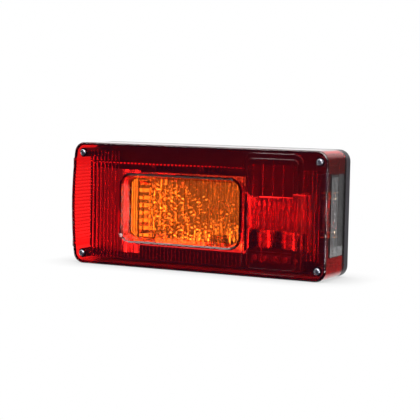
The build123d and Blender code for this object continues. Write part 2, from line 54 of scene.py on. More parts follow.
def linear(code):
    """Linear RGBA of an sRGB hex colour."""
    part = np.array([int(code[i:i + 2], 16) for i in (1, 3, 5)]) / 255
    light = np.where(part <= 0.04045, part / 12.92, ((part + 0.055) / 1.055) ** 2.4)
    return (*[float(value) for value in light], 1.0)


def add(tree, kind, values=None, **settings):
    """Node of a kind with its settings; each value is a constant or the socket that feeds that input."""
    made = tree.nodes.new(kind)
    for key, value in settings.items():
        setattr(made, key, value)
    for key, value in (values or {}).items():
        if isinstance(value, bpy.types.NodeSocket):
            tree.links.new(value, made.inputs[key])
        else:
            made.inputs[key].default_value = value
    return made


def new_finish(name):
    """Empty node material, and its tree."""
    finish = bpy.data.materials.new(name)
    finish.use_nodes = True
    finish.node_tree.nodes.clear()
    return finish, finish.node_tree


def grain(tree, size, depth):
    """Bump normal of a noise whose lumps are size millimetres wide and depth millimetres high."""
    place = add(tree, "ShaderNodeTexCoord").outputs["Object"]
    noise = add(tree, "ShaderNodeTexNoise", {"Vector": place, "Scale": 1 / (size * MM), "Detail": 2.0})
    bump = add(tree, "ShaderNodeBump", {
        "Height": noise.outputs["Fac"], "Distance": depth * MM, "Strength": 1.0})
    return bump.outputs["Normal"]


def blotch(tree, size, low, high):
    """Value between low and high that drifts over lumps of size millimetres."""
    place = add(tree, "ShaderNodeTexCoord").outputs["Object"]
    noise = add(tree, "ShaderNodeTexNoise", {"Vector": place, "Scale": 1 / (size * MM), "Detail": 3.0})
    drift = add(tree, "ShaderNodeMapRange", {
        "Value": noise.outputs["Fac"], "From Min": NOISE_LOW, "From Max": NOISE_HIGH,
        "To Min": low, "To Max": high})
    return drift.outputs["Result"]


def clean(mesh, merge, outwards=False):
    """Merge points within a distance in mm, drop empty faces and, where asked, turn the faces outwards."""
    shell = bmesh.new()
    shell.from_mesh(mesh)
    bmesh.ops.remove_doubles(shell, verts=shell.verts, dist=merge * MM)
    bmesh.ops.dissolve_degenerate(shell, edges=shell.edges, dist=EMPTY_EDGE * MM)
    if outwards:
        bmesh.ops.recalc_face_normals(shell, faces=shell.faces)
    shell.to_mesh(mesh)
    shell.free()


def show(mesh, name, finish, nodes, sharp):
    """Object that stands for CAD nodes and rides with the lamp, shaded smooth up to an angle in degrees."""
    mesh.materials.append(finish)
    mesh.shade_smooth()
    mesh.set_sharp_from_angle(angle=np.radians(sharp))
    made = bpy.data.objects.new(name, mesh)
    bpy.context.scene.collection.objects.link(made)
    if nodes:
        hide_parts(*nodes)
    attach(made, "root")
    return made


def moulded_copy(node, name, finish, sharp=32.0):
    """The solid's own triangles, merged, with flat faces held flat by area-weighted normals."""
    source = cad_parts[node].data
    places = np.empty(len(source.vertices) * 3, np.float32)
    source.vertices.foreach_get("co", places)
    corners = np.empty(len(source.loops), np.int32)
    source.loops.foreach_get("vertex_index", corners)
    mesh = bpy.data.meshes.new(name)
    mesh.from_pydata(places.reshape(-1, 3).tolist(), [], corners.reshape(-1, 3).tolist())
    clean(mesh, MERGE_SOLID)
    made = show(mesh, name, finish, [node], sharp)
    made.modifiers.new("flat faces", "WEIGHTED_NORMAL").keep_sharp = True
    return made


# ABS moulded in a spark-eroded tool: a fine satin grain, a little uneven in gloss
# The faces outside the walls are a lighter grey, and the inside of the tray is painted a deeper black as
# shade, since little light reaches it
# In a Mix node of colours, inputs 6 and 7 are the two colours and output 2 is the mixed one
black_abs, tree = new_finish("black ABS, satin moulded")
place = add(tree, "ShaderNodeSeparateXYZ", {0: add(tree, "ShaderNodeTexCoord").outputs["Object"]})
sideways = add(tree, "ShaderNodeMath", {0: place.outputs["X"]}, operation="ABSOLUTE").outputs[0]
upwards = add(tree, "ShaderNodeMath", {0: place.outputs["Z"]}, operation="ABSOLUTE").outputs[0]
limits = ((sideways, INSIDE_X), (upwards, INSIDE_Z), (place.outputs["Y"], INSIDE_Y))
beyond = [add(tree, "ShaderNodeMath", {0: way, 1: limit * MM}, operation="GREATER_THAN").outputs[0]
          for way, limit in limits]
past_a_side = add(tree, "ShaderNodeMath", {0: beyond[0], 1: beyond[1]}, operation="MAXIMUM").outputs[0]
outside_unshaded = add(tree, "ShaderNodeMath", {0: past_a_side, 1: beyond[2]}, operation="MAXIMUM").outputs[0]
# Painted shade: inside these bounds the colour goes to the deeper black, outside them to the lighter grey
shade = add(tree, "ShaderNodeMix", {"Factor": outside_unshaded, 6: linear("#121114"), 7: linear("#2f2d32")},
            data_type="RGBA")
shader = add(tree, "ShaderNodeBsdfPrincipled", {
    "Base Color": shade.outputs[2], "Roughness": blotch(tree, 18, 0.34, 0.5), "IOR": 1.52,
    "Normal": grain(tree, 0.7, 0.02)})
add(tree, "ShaderNodeOutputMaterial", {"Surface": shader.outputs["BSDF"]})
moulded_copy("housing", "housing_tray", black_abs)

# Mounting studs: two zinc-plated M6 studs pressed into the floor, hexagon heads inside, square necks in it.
# The shank behind the mounting face has a rolled thread and a pointed end.
STUD_RADIUS, THREAD_PITCH, THREAD_DEPTH = 3.0, 1.0, 0.45
POINT_LENGTH, POINT_SHARE = 1.2, 0.6
STUD_ROWS, STUD_TURN_POINTS = 161, 33
FLOOR_INSIDE = -4.0
MERGE_GRID = 0.002
METAL = {"Metallic": 1.0}


def opaque(name, colour, gloss, lumps=None, others=None):
    """Opaque material: gloss is a lump size and two roughnesses, lumps a grain's width and depth, in mm."""
    finish, tree = new_finish(name)
    values = {"Base Color": linear(colour), "Roughness": blotch(tree, *gloss), **(others or {})}
    if lumps:
        values["Normal"] = grain(tree, *lumps)
    shader = add(tree, "ShaderNodeBsdfPrincipled", values)
    add(tree, "ShaderNodeOutputMaterial", {"Surface": shader.outputs["BSDF"]})
    return finish


def size_mm(node):
    """Lowest and highest corner of a CAD node in millimetres."""
    low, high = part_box(node)
    return np.array(low) / MM, np.array(high) / MM


def grid_faces(rows, columns, first):
    """Quads of a grid of points numbered row by row from first."""
    corner = first + np.arange(rows - 1)[:, None] * columns + np.arange(columns - 1)
    return np.stack([corner, corner + 1, corner + columns + 1, corner + columns], axis=-1).reshape(-1, 4)


def joined_mesh(name, grids):
    """Mesh of point grids in millimetres; seams and poles are merged and faces turned outwards."""
    points = np.concatenate([grid.reshape(-1, 3) for grid in grids]) * MM
    starts = np.cumsum([0] + [grid.shape[0] * grid.shape[1] for grid in grids])
    faces = np.concatenate([grid_faces(*grid.shape[:2], first) for grid, first in zip(grids, starts)])
    mesh = bpy.data.meshes.new(name)
    mesh.from_pydata(points.tolist(), [], faces.tolist())
    clean(mesh, MERGE_GRID, outwards=True)
    return mesh


def piece(name, grids, finish, slot, *nodes, sharp=35.0, wall=0.0):
    """Object made of point grids in millimetres, with a wall of a thickness if one is named."""
    made = show(joined_mesh(name, grids), name, finish, nodes, sharp)
    if wall:
        skin = made.modifiers.new("wall", "SOLIDIFY")
        skin.thickness = wall * MM
        skin.offset = -1.0


def turned(profile, sides=48):
    """Profile of (radius, height) points carried round the Z axis: x = r cos t, y = r sin t, z = height."""
    profile = np.asarray(profile, float)
    turn = np.linspace(0, 2 * np.pi, sides + 1)
    radius, height = profile[:, :1], profile[:, 1:]
    return np.stack([radius * np.cos(turn), radius * np.sin(turn), height + 0 * turn], axis=-1)


def to_back(grid):
    """A grid about +Z laid along +Y, the way out of the back: (x, y, z) becomes (x, z, -y)."""
    return np.stack([grid[..., 0], grid[..., 2], -grid[..., 1]], axis=-1)


def barred(corners, turn, low, high):
    """Closed bar about Z with flat sides, its corners at a radius and at angles, between two heights."""
    angle = np.append(turn, turn[0])
    ring = np.stack([corners * np.cos(angle), corners * np.sin(angle)], axis=-1)
    rows = [(0.0, low), (1.0, low), (1.0, high), (0.0, high)]
    return np.stack([np.column_stack([scale * ring, np.full(len(ring), height)]) for scale, height in rows])


# Bright zinc plating on steel: pale grey with a faint warm cast, a little uneven in gloss
zinc_steel = opaque("zinc-plated steel", "#c8c6c0", (2.0, 0.2, 0.36), (0.5, 0.01), METAL)

stud_low, stud_high = size_mm("mount_studs")
hexagon_turns = np.arange(6) * np.pi / 3
square_turns = np.pi / 4 + np.arange(4) * np.pi / 2
head_radius = (stud_high[2] - stud_low[2]) / 2 / np.cos(np.pi / 6)
stud_grids = []
for x in (stud_low[0] + head_radius, stud_high[0] - head_radius):
    rows = np.linspace(0, stud_high[1], STUD_ROWS)[:, None]
    turn = np.linspace(0, 2 * np.pi, STUD_TURN_POINTS)
    wave = np.abs((rows / THREAD_PITCH - turn / (2 * np.pi)) % 1.0 - 0.5) * 2
    taper = np.clip((stud_high[1] - rows) / POINT_LENGTH, 0.0, 1.0)
    radius = (STUD_RADIUS - THREAD_DEPTH * wave) * (POINT_SHARE + (1 - POINT_SHARE) * taper)
    shank = np.stack([radius * np.cos(turn), radius * np.sin(turn), rows + 0 * turn], axis=-1)
    tip = np.stack([shank[-1], shank[-1] * [0, 0, 1]])
    head = barred(head_radius, hexagon_turns, stud_low[1], FLOOR_INSIDE)
    neck = barred(STUD_RADIUS * np.sqrt(2), square_turns, FLOOR_INSIDE, 0.0)
    stud_grids += [to_back(grid) + [x, 0, 0] for grid in (shank, tip, head, neck)]
piece("mounting_studs", stud_grids, zinc_steel, "screw_steel", "mount_studs", sharp=40)

# Cable grommet: a soft black rubber ring in the floor, with a rounded flange on the back.
# The cable would be pushed through its bore.
GROMMET_BORE, GROMMET_NECK, FLANGE_THICK = 3.5, 6.45, 1.2
# Rubber from a mould: nearly black and matt, with a broad dull sheen
rubber = opaque("black rubber, moulded", "#121213", (4.0, 0.55, 0.75), (0.4, 0.02), {"IOR": 1.5})
grommet_low, grommet_high = size_mm("cable_grommet")
grommet_middle = (grommet_low + grommet_high) / 2
flange = (grommet_high[0] - grommet_low[0]) / 2
inside, outside = grommet_low[1], grommet_high[1]
lip = outside - FLANGE_THICK
profile = [(GROMMET_BORE, inside), (GROMMET_NECK - 0.3, inside), (GROMMET_NECK, inside + 0.3),
           (GROMMET_NECK, lip), (flange, lip), (flange, outside - 0.5), (flange - 0.2, outside - 0.15),
           (flange - 0.6, outside), (GROMMET_BORE + 0.5, outside), (GROMMET_BORE + 0.1, outside - 0.2),
           (GROMMET_BORE, outside - 0.6), (GROMMET_BORE, inside)]
ring = to_back(turned(profile, sides=64)) + [grommet_middle[0], 0, grommet_middle[2]]
piece("rubber_grommet", [ring], rubber, "seal_rubber", "cable_grommet")

# Indicator reflector: a deep tray behind the amber window, moulded in ABS and metallised with aluminium.
# Its bowed back is hammered, a slanted band at its left has level scallops, and its right wall has a collar.
# A ribbed strip and a satin flank run on to the left, and two black ears are staked to the housing.
HAMMER_PITCH, HAMMER_DEPTH, HAMMER_SHIFT = 2.8, 0.3, 0.42
SEED_ACROSS, SEED_ALONG, SHUFFLE_ACROSS, SHUFFLE_ALONG = 12.9898, 78.233, 43.7, 91.3
SCALLOP_PITCH, SCALLOP_DEPTH = 6.8, 0.9
BAND_WIDE, BAND_DEEP, BAND_SUNK, BAND_LEAN_X, BAND_LEAN_Y = 9.5, 7.0, 0.6, 0.6, 0.8
TRAY_LEFT, TRAY_LEFT_LOW, TRAY_BOWL, TRAY_WALL = -65.0, 24.0, 5.5, 1.5
TRAY_EAR, EAR_WIDTH, EAR_PLACES = 6.0, 5.0, (14.0, 61.5)
SOLE_GAP, COLLAR = 9.6, 4.0
FLANK_LEFT, FLANK_LOW, FLANK_FALL, FLANK_TURN = -117.0, 10.0, 13.0, 24
FOOT_RISE, FOOT_RUN = 3.0, 2.0
RIB_LEFT, RIB_PITCH, RIB_RISE, RIB_SUNK = -83.4, 2.3, 1.2, 1.9
LIP_DROP, LIP_SLOPE, LIP_WAVE, LIP_PITCH = 2.4, 0.36, 0.35, 3.7
BACK_COLUMNS, BACK_ROWS, WALL_POINTS, ROOF_POINTS = 321, 221, 21, 141
FLANK_COLUMNS, FLANK_ROWS, LIP_COLUMNS, LIP_ROWS = 241, 61, 421, 8


def metallised(name, low, high, colour):
    """Vacuum-metallised ABS: a mirror of a colour, softened by its lacquer to between two roughnesses."""
    return opaque(name, colour, (9.0, low, high), (1.5, 0.008), METAL)


def hammered(u, v, pitch, depth):
    """Height of a hammered skin: depth (1 - 2 d^2 / pitch^2), d being the way to the nearest dimple centre.

    The centres lie on a square grid, each moved by a share of the pitch that two sines of its place give."""
    row, column = np.floor(v / pitch), np.floor(u / pitch)
    nearest = np.full(np.broadcast(u, v).shape, np.inf)
    for i in (-1, 0, 1):
        for j in (-1, 0, 1):
            seed = SEED_ACROSS * (column + i) + SEED_ALONG * (row + j)
            across = (column + i + 0.5 + HAMMER_SHIFT * np.sin(SHUFFLE_ACROSS * seed)) * pitch
            along = (row + j + 0.5 + HAMMER_SHIFT * np.sin(SHUFFLE_ALONG * seed)) * pitch
            nearest = np.minimum(nearest, (u - across) ** 2 + (v - along) ** 2)
    return depth * (1 - 2 * nearest / pitch ** 2)


def arc_depth(across, half, rise):
    """How far an arc of a half width has risen at a place across it: 0 in its middle, rise at its end."""
    radius = (half ** 2 + rise ** 2) / (2 * rise)
    return radius - np.sqrt(radius ** 2 - across ** 2)


tray_low, tray_high = size_mm("indicator_reflector")
amber_low, amber_high = size_mm("amber_window")
bulb_low, bulb_high = size_mm("indicator_bulb_glass")
pan_z = (amber_low[2] + amber_high[2]) / 2
tray_right, tray_front = tray_high[0] - TRAY_WALL, tray_low[1]
half = tray_high[2] - TRAY_EAR - TRAY_WALL - pan_z
bulb_x = (bulb_low[0] + bulb_high[0]) / 2
deepest = tray_high[1] - TRAY_WALL
floor_left = TRAY_LEFT + BAND_WIDE


def tray_back(x, z):
    """Y of the bowed back: the rises of its long arc and its bowl, joined as (a^3 + b^3)^(1/3)."""
    left_rise = TRAY_LEFT_LOW + deepest
    long_arc = arc_depth(np.clip(x, floor_left, None) - bulb_x, bulb_x - floor_left, left_rise)
    bowl = arc_depth(z, half, TRAY_BOWL)
    return deepest - np.cbrt(long_arc ** 3 + bowl ** 3)


# Back, slanted band with its step to the back, and right wall with the collar
xs = np.linspace(floor_left, tray_right, BACK_COLUMNS)[:, None]
zs = np.linspace(-half, half, BACK_ROWS)
dimples = hammered(xs, zs, HAMMER_PITCH, HAMMER_DEPTH)
back = np.stack([xs + 0 * zs, tray_back(xs, zs) - dimples, zs + 0 * xs], axis=-1)
share = np.linspace(0, 1, WALL_POINTS)[:, None]
scallop = SCALLOP_DEPTH * (2 * np.abs(zs / SCALLOP_PITCH % 1.0 - 0.5) - 0.5)
band = np.stack([TRAY_LEFT + BAND_WIDE * share + BAND_LEAN_X * scallop,
                 tray_front + BAND_SUNK + BAND_DEEP * share - BAND_LEAN_Y * scallop,
                 zs + 0 * share], axis=-1)
step = band[-1] + (back[0] - band[-1]) * share[..., None]
collar = tray_front - COLLAR
right_wall = np.stack([tray_right + 0 * share + 0 * zs,
                       collar + (back[-1, :, 1] - collar) * share, zs + 0 * share], axis=-1)

# Roof, and a sole that leaves room for the bulb
along = np.linspace(TRAY_LEFT, tray_right, ROOF_POINTS)
deep = tray_back(along, half)
roof = np.stack([along + 0 * share, tray_front + (deep - tray_front) * share,
                 half + 0 * share + 0 * along], axis=-1)
left_sole = roof[:, along < bulb_x - SOLE_GAP] * [1, 1, -1]
right_sole = roof[:, along > bulb_x + SOLE_GAP] * [1, 1, -1]

# Flank: it falls evenly to the left and turns down at its end, with round ribs in its first strip
share_out = np.linspace(0, 1, FLANK_COLUMNS)[:, None]
flank_x = TRAY_LEFT + (FLANK_LEFT - TRAY_LEFT) * share_out
turn_down = (-FLANK_LOW - tray_front - FLANK_FALL) * share_out ** FLANK_TURN
slope = tray_front + FLANK_FALL * share_out + turn_down
across_rib = 2 * ((flank_x - TRAY_LEFT) / RIB_PITCH % 1.0) - 1
flank_y = np.where(flank_x > RIB_LEFT, tray_front + RIB_SUNK - RIB_RISE * (1 - across_rib ** 2), slope)
flank_foot = tray_low[2] - pan_z + FOOT_RISE * np.clip((tray_low[0] - flank_x) / FOOT_RUN, 0, 1)
flank_z = flank_foot + (half + TRAY_WALL - flank_foot) * np.linspace(0, 1, FLANK_ROWS)
flank = np.stack([flank_x + 0 * flank_z, flank_y + 0 * flank_z, flank_z], axis=-1)
ribbed = np.count_nonzero(flank_x > RIB_LEFT)

# Wavy lip under the tray, and the ears over it
lip_x = np.linspace(TRAY_LEFT, tray_right, LIP_COLUMNS)
lip_wave = LIP_DROP + LIP_WAVE * np.cos(2 * np.pi * lip_x / LIP_PITCH)
lip_fall = np.linspace(0, 1, LIP_ROWS)[:, None] * lip_wave
lower_lip = np.stack([lip_x + 0 * lip_fall, tray_front - LIP_SLOPE * lip_fall, -half - lip_fall], axis=-1)
ears = []
for ear_place in EAR_PLACES:
    x = TRAY_LEFT + ear_place
    across, rise = np.meshgrid([x - EAR_WIDTH / 2, x + EAR_WIDTH / 2], [half, half + TRAY_WALL + TRAY_EAR])
    ears.append(np.stack([across, 0 * across + tray_front, rise], axis=-1))

# The tray is a bright mirror, and the flank a darker one that is blurred to a satin sheen
hammered_metal = metallised("metallised ABS, hammered", 0.16, 0.24, "#e9e8e6")
satin_metal = metallised("metallised ABS, satin", 0.48, 0.58, "#827f7d")
tray_grids = [back, band, step, right_wall, roof, left_sole, right_sole, flank[:ribbed], lower_lip]
piece("indicator_reflector_tray", [grid + [0, 0, pan_z] for grid in tray_grids], hammered_metal,
      "bright_reflector", "indicator_reflector", sharp=30)
piece("indicator_reflector_flank", [flank[ribbed - 1:] + [0, 0, pan_z]], satin_metal, "bright_reflector")
piece("indicator_reflector_ears", [grid + [0, 0, pan_z] for grid in ears], black_abs, "black_plastic",
      wall=TRAY_WALL)

# Stop and tail reflector: an upright metallised trough behind the two bulbs of the tall window.
# It stands on the bulb carrier and is open at its front and top.
TROUGH_WALL, TROUGH_EDGE = 1.2, -16.0
TROUGH_SIDE_POINTS, TROUGH_BACK_POINTS, TROUGH_ROWS = 15, 61, 40
trough_low, trough_high = size_mm("stop_tail_reflector")
left, right = trough_low[0] + TROUGH_WALL, trough_high[0] - TROUGH_WALL
middle_deep = trough_high[1] - TROUGH_WALL
span = np.linspace(-1, 1, TROUGH_BACK_POINTS)
side = np.linspace(0, 1, TROUGH_SIDE_POINTS)
# Seen from above: straight sides, and a back that follows y = edge + (middle - edge) (1 - s^2)
trough_x = np.concatenate([np.full(TROUGH_SIDE_POINTS, left), (left + right) / 2 + span * (right - left) / 2,
                           np.full(TROUGH_SIDE_POINTS, right)])
curve = TROUGH_EDGE + (middle_deep - TROUGH_EDGE) * (1 - span ** 2)
trough_y = np.concatenate([trough_low[1] + (TROUGH_EDGE - trough_low[1]) * side, curve,
                           TROUGH_EDGE + (trough_low[1] - TROUGH_EDGE) * side])
zs = np.linspace(trough_low[2], trough_high[2], TROUGH_ROWS)[:, None]
trough = np.stack([trough_x + 0 * zs, trough_y + 0 * zs, zs + 0 * trough_x], axis=-1)
# The same metallised plastic left smooth: the clearest mirror of the three, its grey darkened as painted
# shade so that the band of the tall window looks dim
bright_metal = metallised("metallised ABS, smooth", 0.1, 0.18, "#bdbbb8")
piece("stop_tail_reflector_trough", [trough], bright_metal, "bright_reflector", "stop_tail_reflector",
      sharp=30, wall=-TROUGH_WALL)

# Bulb carrier and indicator holder: black moulded boxes under the bulbs, with socket holes in their tops.
# They stand on the floor of the tray.
# Phenolic resin, which stands the heat of the bulbs: matt and the deepest black in the lamp, hardly a sheen
phenolic = opaque("black phenolic resin, matt", "#0b0a0b", (6.0, 0.55, 0.7), (0.5, 0.02),
                  {"Specular IOR Level": 0.2})
moulded_copy("bulb_carrier", "bulb_carrier_box", phenolic)
moulded_copy("indicator_holder", "indicator_holder_box", phenolic)

# Terminal screws: brass-plated steel screws with slotted, domed heads.
# They sit in a row on the front of the bulb carrier, and only their heads are made.
TERMINAL_COUNT, SLOT_DEPTH = 5, 0.8
HEAD_RINGS, HEAD_TURN_POINTS, HEAD_EDGE = 40, 97, 0.98
DOME_FALL, RECESS_SIDE, RECESS_END = 0.35, 0.06, 0.08
RECESS_SHARES = {2: (0.17, 1.2), 4: (0.25, 0.8)}


def to_front(grid):
    """A grid about +Z laid along -Y, towards the lens: (x, y, z) becomes (x, -z, y)."""
    return np.stack([grid[..., 0], -grid[..., 2], grid[..., 1]], axis=-1)


def screw_head(radius, height, recess, arms):
    """Domed head about Z: its height falls with r^4 and drops by the recess inside two or four arms.

    The half width and the reach of the arms are shares of the radius."""
    reach = np.concatenate([np.linspace(0, HEAD_EDGE, HEAD_RINGS), [1.0, 1.0]])[:, None]
    turn = np.linspace(0, 2 * np.pi, HEAD_TURN_POINTS)
    x, y = reach * np.cos(turn), reach * np.sin(turn)
    dome = height * (1 - DOME_FALL * reach ** 4) + 0 * turn
    across = np.abs(y) if arms == 2 else np.minimum(np.abs(x), np.abs(y))
    width, length = RECESS_SHARES[arms]
    inside = np.clip((width - across) / RECESS_SIDE, 0, 1) * np.clip((length - reach) / RECESS_END, 0, 1)
    top = dome - recess * inside
    top[-1] = 0
    return np.stack([radius * x, radius * y, top], axis=-1)


terminal_low, terminal_high = size_mm("terminal_screws")
terminal_radius = (terminal_high[2] - terminal_low[2]) / 2
terminal_z = (terminal_low[2] + terminal_high[2]) / 2
terminal_xs = np.linspace(terminal_low[0] + terminal_radius, terminal_high[0] - terminal_radius,
                          TERMINAL_COUNT)
terminal_head = to_front(screw_head(terminal_radius, terminal_high[1] - terminal_low[1], SLOT_DEPTH, 2))
heads = [terminal_head + [x, terminal_high[1], terminal_z] for x in terminal_xs]
# Brass plating gone dull: brown, with soft glints only
dull_brass = opaque("dull brass terminal screws", "#5e5242", (1.5, 0.35, 0.5), None, METAL)
piece("terminal_screw_heads", heads, dull_brass, "screw_steel", "terminal_screws")

# Bulb sockets: sleeves of zinc-plated steel with a rolled rim, formed in a press.
# They are pushed into the holes of the carrier and the holder.
BULBS = ("indicator", "stop", "tail")
SOCKET_RADIUS, SOCKET_BORE, SOCKET_DROP, SOCKET_LENGTH = 8.7, 7.75, 3.0, 16.0
bulb_place = {}
for name in BULBS:
    low, high = size_mm(name + "_bulb_glass")
    bulb_place[name] = np.array([(low[0] + high[0]) / 2, (low[1] + high[1]) / 2, low[2]])
sleeve = [(SOCKET_BORE, -SOCKET_LENGTH), (SOCKET_RADIUS - 0.05, -SOCKET_LENGTH), (SOCKET_RADIUS - 0.05, -0.6),
          (SOCKET_RADIUS + 0.25, -0.35), (SOCKET_RADIUS + 0.25, -0.1), (SOCKET_RADIUS - 0.1, 0.0),
          (SOCKET_BORE + 0.1, -0.1), (SOCKET_BORE, -0.4), (SOCKET_BORE, -SOCKET_LENGTH)]
sleeves = [turned(sleeve, sides=64) + place - [0, 0, SOCKET_DROP] for place in bulb_place.values()]
piece("bayonet_sockets", sleeves, zinc_steel, "socket_steel", "bulb_sockets")

# Contact leaves: strips of spring brass that press on the end of each bulb.
# They rise from the front walls of the carrier and the holder.
# Rolled brass: a warm yellow metal with a soft sheen
spring_brass = opaque("spring brass, rolled", "#b9924e", (3.0, 0.22, 0.4), (0.4, 0.01), METAL)
moulded_copy("contact_leaves", "contact_leaves_brass", spring_brass)

# Bayonet bulbs: clear blown glass on plated brass caps with two pins and a solder contact at the end.
# Inside, a coiled tungsten filament hangs between two support wires that rise from the cap.
GLASS_WALL, NECK_RADIUS, NECK_LENGTH, SWELL = 0.6, 6.6, 2.0, 1.4
DOME_POINTS, SWELL_POINTS = 15, 9
CAP_RADIUS, CAP_LENGTH, PIN_DROP = 7.5, 16.0, 7.0
COIL_TURNS, COIL_POINTS, COIL_HALF, COIL_RADIUS, COIL_WIRE = 12, 289, 3.2, 0.45, 0.12
COIL_SHARE, COIL_ARCH, COIL_BEND = 0.62, 0.8, 1.4
POST_FOOT, POST_LAP, POST_WIRE, POST_POINTS = 1.2, 0.3, 0.25, 12
OFF_PATH = (0.31, 0.17, 0.93)
# Nickel over brass: pale and warm, with clear but soft reflections
plated_brass = opaque("nickel-plated brass cap", "#d3c7ae", (2.5, 0.18, 0.32), (0.6, 0.012), METAL)
# Drawn tungsten: dark grey and satin
tungsten = opaque("tungsten wire", "#8c8780", (0.5, 0.3, 0.45), None, METAL)
# Blown soda-lime glass: clear, and a little wavy, so that its reflections waver
bulb_glass, tree = new_finish("clear soda-lime glass")
shader = add(tree, "ShaderNodeBsdfPrincipled", {
    "Base Color": linear("#fbfdfb"), "Roughness": 0.0, "IOR": 1.51, "Transmission Weight": 1.0,
    "Normal": grain(tree, 9.0, 0.03)})
add(tree, "ShaderNodeOutputMaterial", {"Surface": shader.outputs["BSDF"]})


def wire(path, radius, sides=8):
    """Round wire along a path of points: each ring lies across the path, and both ends close to a point.

    The rings are turned by a direction that no path here runs along."""
    ahead = np.gradient(path, axis=0)
    ahead /= np.linalg.norm(ahead, axis=1, keepdims=True)
    across = np.cross(ahead, np.array(OFF_PATH))
    across /= np.linalg.norm(across, axis=1, keepdims=True)
    other = np.cross(ahead, across)
    turn = np.linspace(0, 2 * np.pi, sides + 1)[None, :, None]
    rings = path[:, None] + radius * (np.cos(turn) * across[:, None] + np.sin(turn) * other[:, None])
    ends = [np.repeat(path[i][None, None], sides + 1, axis=1) for i in (0, -1)]
    return np.concatenate([ends[0], rings, ends[1]])


# Each glass swells from its neck as sin^1.4 up to a half ball, and each coil is a helix along a low arch
dome = np.linspace(0, np.pi / 2, DOME_POINTS)[1:]
swelling = np.linspace(0, 1, SWELL_POINTS)[1:]
cap = [(0.0, -CAP_LENGTH), (1.6, -CAP_LENGTH), (2.4, -CAP_LENGTH + 0.5), (2.6, -CAP_LENGTH + 1.2),
       (5.4, -CAP_LENGTH + 1.6), (CAP_RADIUS - 0.3, -CAP_LENGTH + 2.8), (CAP_RADIUS, -CAP_LENGTH + 3.6),
       (CAP_RADIUS, -2.2), (CAP_RADIUS - 0.25, -1.9), (CAP_RADIUS - 0.25, -1.3), (CAP_RADIUS, -1.0),
       (CAP_RADIUS, -0.2), (CAP_RADIUS - 0.2, 0.0), (0.0, 0.0)]
pin = turned([(0.0, 0.0), (1.0, 0.0), (1.0, 1.1), (0.8, 1.3), (0.0, 1.3)], sides=20)
pins = [np.stack([side * (CAP_RADIUS - 0.2 + pin[..., 2]), pin[..., 0], pin[..., 1] - PIN_DROP], axis=-1)
        for side in (1, -1)]
coil_turn = np.linspace(0, 2 * np.pi * COIL_TURNS, COIL_POINTS)
coil_arch = COIL_ARCH * np.cos(np.linspace(-COIL_BEND, COIL_BEND, COIL_POINTS))
for name, place in bulb_place.items():
    low, high = size_mm(name + "_bulb_glass")
    radius, length = (high[0] - low[0]) / 2, high[2] - low[2]
    bulge = length - radius
    neck_to_ball = NECK_RADIUS + (radius - NECK_RADIUS) * np.sin(swelling * np.pi / 2) ** SWELL
    outer_r = np.concatenate([[NECK_RADIUS, NECK_RADIUS], neck_to_ball, radius * np.cos(dome)])
    outer_z = np.concatenate([[0.0, NECK_LENGTH], NECK_LENGTH + (bulge - NECK_LENGTH) * swelling,
                              bulge + radius * np.sin(dome)])
    shell = np.concatenate([[(0.0, 0.0)], np.column_stack([np.clip(outer_r, 0, None), outer_z])])
    piece(name + "_bulb_envelope", [turned(shell, sides=64) + place], bulb_glass, "bulb_glass",
          name + "_bulb_glass", sharp=60, wall=GLASS_WALL)
    cap_grids = [grid + place for grid in (turned(cap, sides=64), *pins)]
    piece(name + "_bulb_cap_brass", cap_grids, plated_brass, "cap_metal", name + "_bulb_cap")
    coil_z = length * COIL_SHARE
    coil = np.stack([np.linspace(-COIL_HALF, COIL_HALF, COIL_POINTS), COIL_RADIUS * np.cos(coil_turn),
                     coil_z + COIL_RADIUS * np.sin(coil_turn) + coil_arch], axis=-1)
    post_x = np.linspace(POST_FOOT, COIL_HALF, POST_POINTS)
    post_z = np.linspace(POST_LAP, coil_z + POST_LAP, POST_POINTS)
    posts = [np.stack([side * post_x, 0 * post_x, post_z], axis=-1) for side in (1, -1)]
    grids = [wire(coil, COIL_WIRE, sides=6)] + [wire(post, POST_WIRE) for post in posts]
    piece(name + "_bulb_filament", [grid + place for grid in grids], tungsten, "cap_metal", sharp=60)

# Number plate light: a festoon bulb, a glass tube with coned metal ends, held between two spring clips.
# The clips stand on the floor behind the clear end window.
SHOULDER_IN, SHOULDER_LONG = 1.0, 1.5
LONG_COIL_TURNS, LONG_COIL_POINTS, LONG_COIL_RADIUS, LONG_COIL_WIRE, LONG_COIL_INSET = 26, 521, 0.35, 0.1, 0.3
tube_low, tube_high = size_mm("plate_bulb_glass")
tube_middle = (tube_low + tube_high) / 2
tube_radius, tube_half = (tube_high[0] - tube_low[0]) / 2, (tube_high[2] - tube_low[2]) / 2
shell = [(0.0, -tube_half), (tube_radius - SHOULDER_IN, -tube_half), (tube_radius, SHOULDER_LONG - tube_half),
         (tube_radius, tube_half - SHOULDER_LONG), (tube_radius - SHOULDER_IN, tube_half), (0.0, tube_half)]
piece("plate_bulb_tube", [turned(shell) + tube_middle], bulb_glass, "bulb_glass", "plate_bulb_glass",
      sharp=60, wall=GLASS_WALL)
cap_high = size_mm("plate_bulb_caps")[1][2] - tube_middle[2]
end_cap = np.array([(0.0, tube_half), (tube_radius - 0.1, tube_half), (tube_radius - 0.1, tube_half + 1.2),
                    (3.2, tube_half + 2.0), (2.4, tube_half + 2.6), (1.6, cap_high - 0.4), (1.2, cap_high),
                    (0.0, cap_high)])
end_caps = [turned(end_cap, sides=40) * [1, 1, end] + tube_middle for end in (1, -1)]
piece("plate_bulb_ends", end_caps, plated_brass, "cap_metal", "plate_bulb_caps")
turns = np.linspace(0, 2 * np.pi * LONG_COIL_TURNS, LONG_COIL_POINTS)
coil_half = tube_half - LONG_COIL_INSET
coil = np.stack([LONG_COIL_RADIUS * np.cos(turns), LONG_COIL_RADIUS * np.sin(turns),
                 np.linspace(-coil_half, coil_half, LONG_COIL_POINTS)], axis=-1)
piece("plate_bulb_filament", [wire(coil, LONG_COIL_WIRE, sides=6) + tube_middle], tungsten, "cap_metal",
      sharp=60)
